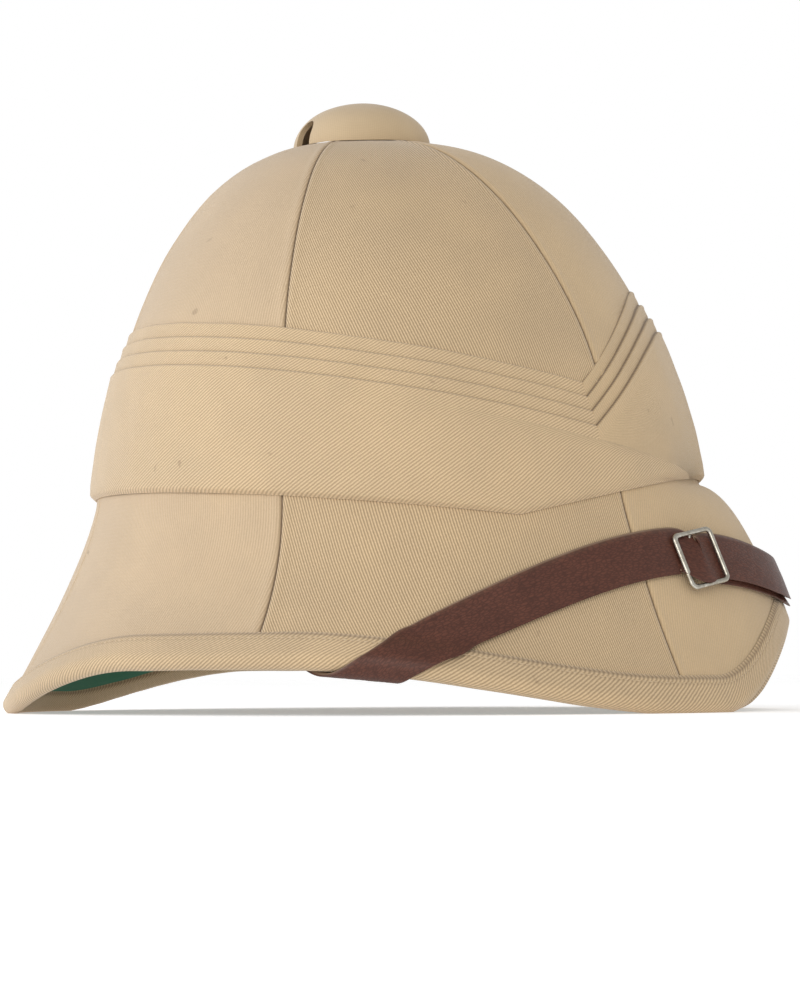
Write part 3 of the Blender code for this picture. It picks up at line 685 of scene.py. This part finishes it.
# The brim's lining. Green cotton glued under the brim, from inside the binding most of the way up to the
# waist, eased into small flat gathers where the brim narrows.
LINING, LINING_TOP, LINING_ROWS = 0.0010, 0.046, 16
lining_rows = np.linspace(BINDING_INSIDE + half_wall + 0.0004, LINING_TOP + half_wall, LINING_ROWS)[None]
lining_ring = np.arange(-180, 180, 0.75)[:, None]
face, _, normal = frame_at(lining_ring, s_from_rim(lining_ring, lining_rows))
gather = np.sin(np.radians(lining_ring) * 74 + np.sin(np.radians(lining_ring) * 9) * 3)
climb = ease(lining_rows, 0.012, LINING_TOP)
under = WALL + WRAP_GAP + LINING * 0.7 + 0.00016 * gather * climb + 0.00012 * ripple(face, 0.02, 41)
under[:, [0, -1]] -= LINING * 0.5
near = face - normal * (WALL + WRAP_GAP * 0.5)
far = face - normal * under[..., None]
round_run, round_length = ring_run(face[:, LINING_ROWS // 4])
lining = sewn("brim_cloth", both_faces(near, far), flat_places(round_run, lining_rows), 0.0, round_length)
lining.data.materials.append(
    twill("green_cotton", 0, 0.00060, (0.030, 0.175, 0.100), (0.014, 0.085, 0.048), 0.5, 0.00006))
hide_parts("brim_lining")
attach(lining, "root")

# The vent cap. A small hollow dome of stiffened cloth over the hole in the crown, with an arched opening at
# each back quarter that lets the air out. Its foot follows the crown, and its cloth is plain and smooth.
CAP_RADIUS, CAP_HEIGHT, CAP_WALL, CAP_CENTRE = 0.0280, 0.0180, 0.0024, -0.0118
CAP_OPENING, CAP_OPENING_HEIGHT, CAP_OPENING_ANGLE = 0.0100, 0.0095, 140
CAP_CLEAR, CAP_SHARP, ARCH_FOOT, TILT_STEP = 0.0003, 42, -0.012, 0.004


def crown_height(x, y):
    """Height of the crown's outer face over these places."""
    low, high = np.zeros(np.shape(x)), np.full(np.shape(x), math.pi / 2)
    for _ in range(40):
        phi = (low + high) / 2
        ahead = x - CROWN_LEAN * np.sin(phi) ** 2
        length = np.where(ahead > 0, WAIST_FRONT, WAIST_BACK)
        degrees = np.degrees(np.arctan2(y / WAIST_SIDE, ahead / length))
        inside = np.hypot(ahead / length, y / WAIST_SIDE) < np.cos(phi) ** taper(degrees)
        low, high = np.where(inside, phi, low), np.where(inside, high, phi)
    return waist_height(degrees) + (CROWN_TOP - waist_height(degrees)) * np.sin(phi) ** CROWN_RISE


def into(place, points):
    """These points of a frame, moved with the frame to its place."""
    flat = np.asarray(place)
    return points @ flat[:3, :3].T + flat[:3, 3]


behind, centre, ahead = (float(crown_height(CAP_CENTRE + k * TILT_STEP, 0.0)) for k in (-1, 0, 1))
cap_tilt = -math.atan((ahead - behind) / (2 * TILT_STEP))
cap_place = Matrix.Translation((CAP_CENTRE, 0, centre)) @ Matrix.Rotation(cap_tilt, 4, "Y")
cap_turn = np.radians(np.arange(0, 360, 2.0))[:, None]


def seat_level(radius):
    """Levels of the crown in the cap's own frame, round a circle of this radius."""
    level = np.zeros(cap_turn.shape)
    for _ in range(12):
        spot = into(cap_place, np.stack([radius * np.cos(cap_turn), radius * np.sin(cap_turn), level], -1))
        level = level + crown_height(spot[..., 0], spot[..., 1]) - spot[..., 2]
    return level


def dome(radius, top, rises):
    """Columns of points from the foot of the dome, just clear of the crown, up to near its top."""
    foot = seat_level(radius) + CAP_CLEAR
    across = radius * np.cos(rises) ** 0.92
    up = foot + (top - foot) * np.sin(rises)
    local = np.stack(np.broadcast_arrays(across * np.cos(cap_turn), across * np.sin(cap_turn), up), -1)
    return into(cap_place, local)


rim_level = float(seat_level(CAP_RADIUS)[0, 0])
rises = np.radians(np.concatenate([[0, 1.2, 3], np.linspace(6, 88, 24)]))[None]
outer = dome(CAP_RADIUS, CAP_HEIGHT + rim_level, rises)
inner = dome(CAP_RADIUS - CAP_WALL, CAP_HEIGHT + rim_level - CAP_WALL, rises)
outer = outer + unit(outer - into(cap_place, np.zeros(3))) * (0.00012 * ripple(outer, 0.018, 51))[..., None]
rows = outer.shape[1]


def turned_faces(count, rows, gap):
    """Faces of a round body whose columns are closed lines of rows, but with its two flat ends at the gap."""
    at = np.arange(count * rows).reshape(count, rows)
    after = np.roll(at, -1, axis=0)
    quads = np.stack([at, np.roll(at, -1, 1), np.roll(after, -1, 1), after], -1)
    quads = np.delete(quads, gap, axis=1).reshape(-1, 4).tolist()
    return quads + [at[:, gap].tolist(), at[:, (gap + 1) % rows].tolist()]


cap = body("vent_dome", both_faces(outer, inner), turned_faces(len(outer), 2 * rows, rows - 1), True)
for side in (-1, 1):
    half = CAP_OPENING / 2
    spring = rim_level + CAP_OPENING_HEIGHT - half
    arch = [(-half, ARCH_FOOT), (half, ARCH_FOOT)]
    arch += [(half * math.cos(a), spring + half * math.sin(a)) for a in np.linspace(0, math.pi, 25)]
    place = cap_place @ Matrix.Rotation(math.radians(side * CAP_OPENING_ANGLE), 4, "Z")
    prism = [place @ Vector((CAP_RADIUS * share, u, v)) for share in (0.45, 1.3) for u, v in arch]
    n = len(arch)
    faces = [(k, (k + 1) % n, (k + 1) % n + n, k + n) for k in range(n)]
    tool = body("arch", prism, faces + [list(range(n)), list(range(n, 2 * n))])
    cut = cap.modifiers.new("arch", "BOOLEAN")
    cut.operation = "DIFFERENCE"
    cut.solver = "EXACT"
    cut.object = tool
    bpy.context.view_layer.update()
    opened = bpy.data.meshes.new_from_object(cap.evaluated_get(bpy.context.evaluated_depsgraph_get()))
    cap.modifiers.clear()
    cap.data = opened
    bpy.data.objects.remove(tool)
cap.data.shade_smooth()
cap.data.set_sharp_from_angle(angle=math.radians(CAP_SHARP))

plain = Finish("cap_cotton")
spot = plain.spot()
x, y, z = plain.node("ShaderNodeSeparateXYZ", {}, {0: spot})
wobble = plain.noise(spot, 900.0)
threads = ((x * 7800 + y * 2400 + wobble * 3).sine() + (z * 8200 + y * 2100 + wobble * 3).sine()) * 0.25 + 0.5
worn = plain.noise(spot, 60.0, 3.0)
base = plain.blend(threads * 0.35 + worn * 0.55, (0.42, 0.310, 0.185), (0.570, 0.432, 0.272))
plain.surface(Base_Color=base, Roughness=worn * 0.1 + 0.8, Normal=plain.bump(threads + worn, 0.00008, 0.5))
plain.surface(Sheen_Weight=0.2, Specular_IOR_Level=0.25)
cap.data.materials.clear()
cap.data.materials.append(plain.material)
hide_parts("vent_cap")
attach(cap, "root")

# The chin strap. Brown grained leather, 18 mm wide and 1.5 mm thick, with a suede back. It runs from a rivet
# inside the right of the brim, over the rim and the peak, through the slider and down to the left. The end
# that has been through the slider lies under it from there on, and shows as a lighter edge at the front.
STRAP_WIDTH, STRAP, STRAP_GAP, LAYER_GAP, ROUND_OFF = 0.0180, 0.0015, 0.0006, 0.0005, 0.00055
STRAP_CROSSING, STRAP_SLANT, STRAP_INSIDE = 84, 22, 0.0420
STRAP_CREST, STRAP_CREST_HEIGHT, STRAP_PEAK_HEIGHT = 23, 0.0603, 0.0545
SLIDER_ANGLE, SLIDER_LENGTH, SLIDER_WIRE, SLIDER_PLAY = 26, 0.0200, 0.0017, 0.0007
RETURN_DROP, STRAP_STEP, RIM_BEND = 0.0046, 0.0014, 19


def strap_height(degrees):
    """Height of the strap's middle on the outside, at these angles from the front."""
    rim = rim_height(STRAP_CROSSING) + rim_drop(STRAP_CROSSING)
    climb = quarter(STRAP_CROSSING - degrees, 0, STRAP_CROSSING - STRAP_CREST)
    rise = quarter(degrees, 0, STRAP_CREST) ** 1.7
    front = STRAP_PEAK_HEIGHT + (STRAP_CREST_HEIGHT - STRAP_PEAK_HEIGHT) * rise
    return np.where(degrees < STRAP_CREST, front, rim + (STRAP_CREST_HEIGHT - rim) * climb)


def slope_length(degrees):
    """How far up the slope from the rim the strap's middle lies."""
    s = np.linspace(0, 2, 601)
    found = []
    for angle, height in zip(degrees, strap_height(degrees)):
        spot = np.interp(-height, -shell_point(angle, s)[:, 2], s)
        found.append(run_along(shell_point(angle, np.linspace(spot, 2, 60)))[-1])
    return np.array(found)


def cloth_under(length):
    """How high the bound cloth stands here, eased down beside its edges."""
    reach = edge_turn + BINDING_OUTSIDE
    return np.where(length > 0, cover * (1 - ease(length, reach - 0.001, reach + 0.005)), cover)


def strap_path(start, end):
    """Angles and lengths of the strap's middle line, in even steps, with its bend at the rim rounded."""
    over = math.pi / 2 * (half_wall + cover + STRAP_GAP)
    outside = np.linspace(0, STRAP_CROSSING, 150)
    inside = np.linspace(0, 1, 34)[1:]
    angle = np.concatenate([outside, STRAP_CROSSING + STRAP_SLANT * inside])
    length = np.concatenate([slope_length(outside) - half_wall + over, -STRAP_INSIDE * inside])
    rim = len(outside) - 1
    length[rim] = (length[rim - 1] + length[rim + 1]) / 2
    for _ in range(14):
        eased = np.convolve(np.pad(length, 1, "edge"), (0.25, 0.5, 0.25), "valid")
        length[rim - RIM_BEND:] = eased[rim - RIM_BEND:]
    angle = np.concatenate([-angle[::-1], angle[1:]])
    length = np.concatenate([length[::-1], length[1:]])
    run = run_along(edge_point(angle, length, cover))
    even = np.linspace(0, run[-1], int(run[-1] / STRAP_STEP))
    angle, length = np.interp(even, run, angle), np.interp(even, run, length)
    kept = (angle >= start) & (angle <= end)
    return angle[kept], length[kept]


def leather_band(name, start, end, lift, drop, finish):
    """A strap along the path, with rounded edges and a slightly domed face, drop lower over the front."""
    angle, length = strap_path(start, end)
    base = STRAP_GAP + lift(angle)
    level = base + cloth_under(length)
    middle = edge_point(angle, length, level)
    way = unit(np.gradient(middle, axis=0))
    for _ in range(3):
        way = unit(way + np.roll(way, 1, 0) * 0.5 + np.roll(way, -1, 0) * 0.5)
    up = unit(edge_point(angle, length + 0.0008, level) - edge_point(angle, length - 0.0008, level))
    per_degree = (edge_point(angle + 1, length, level) - edge_point(angle - 1, length, level)) / 2
    out = unit(np.cross(per_degree, up))
    side = unit(np.cross(out, way))
    rising = (per_degree * up).sum(-1, keepdims=True)
    across = per_degree - up * rising
    steps = np.sin(np.linspace(-math.pi / 2, math.pi / 2, 19))
    reach = steps * STRAP_WIDTH / 2
    corner = np.clip((np.abs(reach) - STRAP_WIDTH / 2 + ROUND_OFF) / ROUND_OFF, 0, 1)
    edge = np.minimum((1 - np.sqrt(1 - corner ** 2)) * ROUND_OFF, STRAP * 0.45)
    lower = drop * (1 - ease(np.abs(angle), 45, 65))[:, None]
    along = (side * across).sum(-1, keepdims=True) * reach / (across ** 2).sum(-1, keepdims=True)
    climb = length[:, None] + (side * up).sum(-1, keepdims=True) * reach - along * rising - lower
    turned = angle[:, None] + along
    low = base[:, None] + cloth_under(climb)
    top = edge_point(turned, climb, low + STRAP + 0.00018 * (1 - steps ** 2) - edge)
    top = top + out[:, None] * (0.00006 * ripple(top, 0.008, 61))[..., None]
    back = edge_point(turned, climb, low + edge)
    rim = np.exp(-((STRAP_WIDTH / 2 - np.abs(reach)) / 0.0004) ** 2)
    shade = np.concatenate([rim * (0.75 if drop else 0.12), np.ones(len(reach))])
    piece = sewn(name, both_faces(top, back), flat_places(run_along(middle), reach[None]), shade)
    piece.data.materials.append(finish)
    return piece


def outer_lift(angle):
    """The outer layer rises over the slider's bar, lies on the inner layer and bows out over the front."""
    half = math.degrees(SLIDER_LENGTH / 2 / RIM_LENGTH_HALF)
    past = (angle + SLIDER_ANGLE) / half
    hump, bow = np.exp(-(past / 0.50) ** 2), np.exp(-((angle + 2) / 9.0) ** 2)
    return (STRAP + LAYER_GAP) * ease(past, -0.95, -0.15) + 0.0015 * hump + 0.0009 * bow


grain = Finish("grained_leather")
weave = grain.weave()
stretched = grain.node("ShaderNodeMapping", {}, {"Vector": weave, "Scale": (420.0, 1150.0, 1.0)})[0]
pebble = grain.node("ShaderNodeTexVoronoi", {"feature": "DISTANCE_TO_EDGE"},
                    {"Vector": stretched, "Scale": 1.0})[0]
crease = grain.ramp(pebble, 0.02, 0.22)
lines = grain.node("ShaderNodeMapping", {}, {"Vector": weave, "Scale": (90.0, 1300.0, 1.0)})[0]
streak = grain.noise(lines, 1.0, 3.0, 0.65)
worn = grain.noise(grain.spot(), 85.0, 3.0, 0.6)
edge = grain.shade()
base = grain.blend(streak * 0.55 + worn * 0.5, (0.046, 0.0140, 0.0088), (0.150, 0.052, 0.031))
base = grain.blend(crease * 0.5 + 0.5, (0.026, 0.0085, 0.0055), base)
suede = grain.blend(worn, (0.16, 0.10, 0.065), (0.30, 0.21, 0.145))
grain.surface(Base_Color=grain.blend(edge, base, suede), Roughness=streak * 0.22 + edge * 0.4 + 0.34,
              Normal=grain.bump(crease * 0.6 + streak * 0.7, 0.00010, 0.80))
grain.surface(Specular_IOR_Level=0.30)
strap = leather_band("strap_long", -200, 200, outer_lift, 0.0, grain.material)
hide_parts("chin_strap")
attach(strap, "root")
back_layer = leather_band("strap_under", -SLIDER_ANGLE + 0.9, 200, lambda angle: np.zeros(np.shape(angle)),
                          RETURN_DROP, grain.material)
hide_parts("strap_return")
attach(back_layer, "root")

# The slider. A flat frame of nickel-plated wire with a middle bar. The strap goes up through it over the
# middle bar and back down, and its far end comes out under the other layer.
SLIDER_HALF, SLIDER_DEEP, SLIDER_SKEW = STRAP_WIDTH / 2 + SLIDER_PLAY + SLIDER_WIRE / 2, 0.0018, 8
SLIDER_CORNER, BAR_WIDE, BAR_DEEP, BAR_SAG = 0.0020, 0.0018, 0.0016, 0.0026
WIRE_WIDE, WIRE_WIDER, WIRE_STEP = 0.0019, 0.0005, 0.0011


def slider_place():
    """The slider's own flat frame, x along the strap, y across it and z away from the cloth."""
    angle, length = strap_path(-SLIDER_ANGLE - 6, -SLIDER_ANGLE + 6)
    base = STRAP_GAP + STRAP + (STRAP + LAYER_GAP) / 2 + SLIDER_DEEP / 2 + LAYER_GAP / 2
    points = edge_point(angle, length, base + cloth_under(length))
    here = np.abs(angle + SLIDER_ANGLE).argmin()
    way = unit(points[-1] - points[0])
    low, high = (edge_point(angle[here], length[here] + step, base) for step in (-0.001, 0.001))
    out = unit(np.cross(way, unit(high - low)))
    if out @ np.array([math.cos(math.radians(angle[here])), math.sin(math.radians(angle[here])), 0]) < 0:
        out = -out
    up = np.cross(out, way)
    skew = math.radians(SLIDER_SKEW)
    matrix = np.eye(4)
    matrix[:3, 0] = way * math.cos(skew) + up * math.sin(skew)
    matrix[:3, 1] = up * math.cos(skew) - way * math.sin(skew)
    matrix[:3, 2], matrix[:3, 3] = out, points[here]
    return matrix


def bar(points, wide, deep, closed=False):
    """A rounded bar along a line in the slider's flat frame, deep being its size away from the cloth."""
    ahead = unit(np.roll(points, -1, 0) - np.roll(points, 1, 0) if closed else np.gradient(points, axis=0))
    side = unit(np.stack([-ahead[:, 1], ahead[:, 0], np.zeros(len(ahead))], -1))
    turns = np.linspace(0, 2 * math.pi, 15)[:-1]
    ring_side, ring_up = np.sign(np.cos(turns)) * np.abs(np.cos(turns)) ** 0.8, np.sin(turns)
    wide = np.broadcast_to(np.reshape(wide, (-1, 1)), (len(points), 1))
    return (points[:, None] + side[:, None] * (ring_side[None] * wide / 2)[..., None]
            + np.array([0, 0, 1]) * (ring_up[None] * deep / 2)[..., None])


half_x, half_y = SLIDER_LENGTH / 2 - SLIDER_WIRE / 2, SLIDER_HALF
corners = []
for sign_x, sign_y, start in ((1, 1, 0), (-1, 1, 90), (-1, -1, 180), (1, -1, 270)):
    for degrees in np.radians(np.linspace(start, start + 90, 9)):
        corners.append((sign_x * (half_x - SLIDER_CORNER) + SLIDER_CORNER * math.cos(degrees),
                        sign_y * (half_y - SLIDER_CORNER) + SLIDER_CORNER * math.sin(degrees), 0.0))
wire = []
for a, b in zip(np.array(corners), np.roll(corners, -1, axis=0)):
    steps = max(int(np.linalg.norm(b - a) / WIRE_STEP), 1)
    wire += [a + (b - a) * i / steps for i in range(steps)]
wire = np.array(wire)
wire[:, 2] = wire[:, 0] * (STRAP + LAYER_GAP) / (SLIDER_LENGTH - SLIDER_WIRE)
wide = WIRE_WIDE + WIRE_WIDER * ease(-wire[:, 0], half_x * 0.6, half_x)
reach = half_y + 0.0002
middle = np.array([(0.0, v, -BAR_SAG * (1 - (v / reach) ** 6)) for v in np.linspace(-reach, reach, 27)])
place = slider_place()
metal = Finish("worn_nickel")
spot = metal.spot()
dull = metal.ramp(metal.noise(spot, 420.0, 3.0, 0.6), 0.35, 0.68)
pits = metal.noise(spot, 1900.0, 2.0, 0.6)
metal.surface(Base_Color=metal.blend(dull, (0.58, 0.55, 0.48), (0.36, 0.33, 0.27)), Metallic=1.0,
              Roughness=dull * 0.16 + 0.24, Normal=metal.bump(pits, 0.00005, 0.25))
frame_body = sewn("slider", into(place, bar(wire, wide, SLIDER_DEEP, True)), 0.0, 0.0, 0.0)
middle_body = sewn("slider_bar", into(place, bar(middle, BAR_WIDE, BAR_DEEP)), 0.0, 0.0)
for part in (frame_body, middle_body):
    part.data.materials.append(metal.material)
join(frame_body, middle_body)
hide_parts("slider_buckle")
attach(frame_body, "root")

# The two rivets that hold the strap's ends inside the brim. Plain domed heads of the same plated metal,
# pressed down on the leather.
STUD_RADIUS, STUD, STUD_PLACE = 0.0045, 0.0018, 0.86
head = np.radians(np.linspace(0, 88, 12))
for name, side, layers in (("right", -1, 1), ("left", 1, 2)):
    angle = side * (STRAP_CROSSING + STRAP_SLANT * STUD_PLACE)
    length = -STRAP_INSIDE * STUD_PLACE
    base = STRAP_GAP + cover + layers * STRAP + (layers - 1) * LAYER_GAP
    seat = edge_point(angle, length, base)
    out = unit(edge_point(angle, length, base + 0.001) - seat)
    across = unit(np.cross(out, (0.0, 0.0, 1.0)))
    up = np.cross(out, across)
    round_head = np.radians(np.arange(0, 360, 9))[:, None]
    radius = np.concatenate([[STUD_RADIUS * 0.9, STUD_RADIUS], STUD_RADIUS * np.cos(head)])[None]
    level = np.concatenate([[0.0, STUD * 0.2], STUD * (0.35 + 0.65 * np.sin(head))])[None]
    points = seat + (across * (radius * np.cos(round_head))[..., None]
                     + up * (radius * np.sin(round_head))[..., None] + out * level[..., None])
    faces = turned_faces(*points.shape[:2], points.shape[1] - 1)
    rivet = body("rivet_" + name, points, faces)
    rivet.data.materials.append(metal.material)
    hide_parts("strap_stud_" + name)
    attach(rivet, "root")

# The floor and the light. A pale sweep 12 m across, a white world that is dimmer overhead and ahead, and a
# large soft lamp each from the left and the front, as for a catalogue picture on white.
floor_mesh = bpy.data.meshes.new("sweep")
floor_mesh.from_pydata([(-6, -6, 0), (6, -6, 0), (6, 6, 0), (-6, 6, 0)], [], [(0, 1, 2, 3)])
floor = bpy.data.objects.new("sweep", floor_mesh)
bpy.context.scene.collection.objects.link(floor)
paper = Finish("white_sweep")
grey = paper.blend(paper.noise(paper.spot(), 3.0), (0.90, 0.90, 0.90), (0.94, 0.94, 0.94))
paper.surface(Base_Color=grey, Roughness=0.9)
paper.surface(Emission_Color=(1.0, 1.0, 1.0), Emission_Strength=0.34)
floor_mesh.materials.append(paper.material)
world = bpy.data.worlds.new("white_room")
world.use_nodes = True
tree = world.node_tree
way = tree.nodes.new("ShaderNodeTexCoord").outputs["Generated"]
split = tree.nodes.new("ShaderNodeSeparateXYZ")
tree.links.new(way, split.inputs[0])
both = tree.nodes.new("ShaderNodeMath")
both.operation = "MULTIPLY"
for k, (axis, start, end, dimmed) in enumerate((("Z", 0.34, 0.85, 0.55), ("X", 0.35, 0.9, 0.74))):
    share = tree.nodes.new("ShaderNodeMapRange")
    share.interpolation_type = "SMOOTHSTEP"
    tree.links.new(split.outputs[axis], share.inputs["Value"])
    for key, value in (("From Min", start), ("From Max", end), ("To Min", 1.0), ("To Max", dimmed)):
        share.inputs[key].default_value = value
    tree.links.new(share.outputs[0], both.inputs[k])
tree.nodes["Background"].inputs["Color"].default_value = (1.0, 1.0, 1.0, 1)
tree.links.new(both.outputs[0], tree.nodes["Background"].inputs["Strength"])
bpy.context.scene.world = world
for name, place, size, power, tint in (
    ("lamp_left", (-1.05, -0.35, 0.42), 0.55, 4.4, (0.92, 1.0, 1.16)),
    ("lamp_front", (0.05, -1.30, 0.50), 0.8, 4.4, (1.0, 0.99, 0.95)),
):
    lamp = bpy.data.lights.new(name, "AREA")
    lamp.shape = "DISK"
    lamp.size = size
    lamp.energy = power
    lamp.color = tint
    lamp_object = bpy.data.objects.new(name, lamp)
    lamp_object.location = place
    lamp_object.rotation_euler = (Vector((0, 0, 0.12)) - Vector(place)).to_track_quat("-Z", "Y").to_euler()
    bpy.context.scene.collection.objects.link(lamp_object)

# The camera. It stands 1.5 cm above the floor and 1.1 m away, 9 degrees ahead of square to the helmet, looks
# level and is rolled by a third of a degree. At the helmet's middle, 2450 pixels are a metre.
AZIMUTH, DISTANCE, EYE, ROLL = math.radians(9), 1.10, 0.015, -0.30
PICTURE_HEIGHT, PIXELS_TO_METRE = 1000, 2450
view = bpy.data.cameras.new("camera")
view.sensor_fit = "VERTICAL"
view.sensor_height = 36.0
view.lens = view.sensor_height * DISTANCE / (PICTURE_HEIGHT / PIXELS_TO_METRE)
view.shift_x, view.shift_y = 0.007, 0.17425
eye = bpy.data.objects.new("camera", view)
eye.location = (math.sin(AZIMUTH) * DISTANCE, -math.cos(AZIMUTH) * DISTANCE, EYE)
eye.rotation_euler = (math.radians(90), 0, AZIMUTH)
eye.rotation_euler.rotate_axis("Z", math.radians(ROLL))
bpy.context.scene.collection.objects.link(eye)
bpy.context.scene.camera = eye
bpy.context.scene.view_settings.view_transform = "Standard"
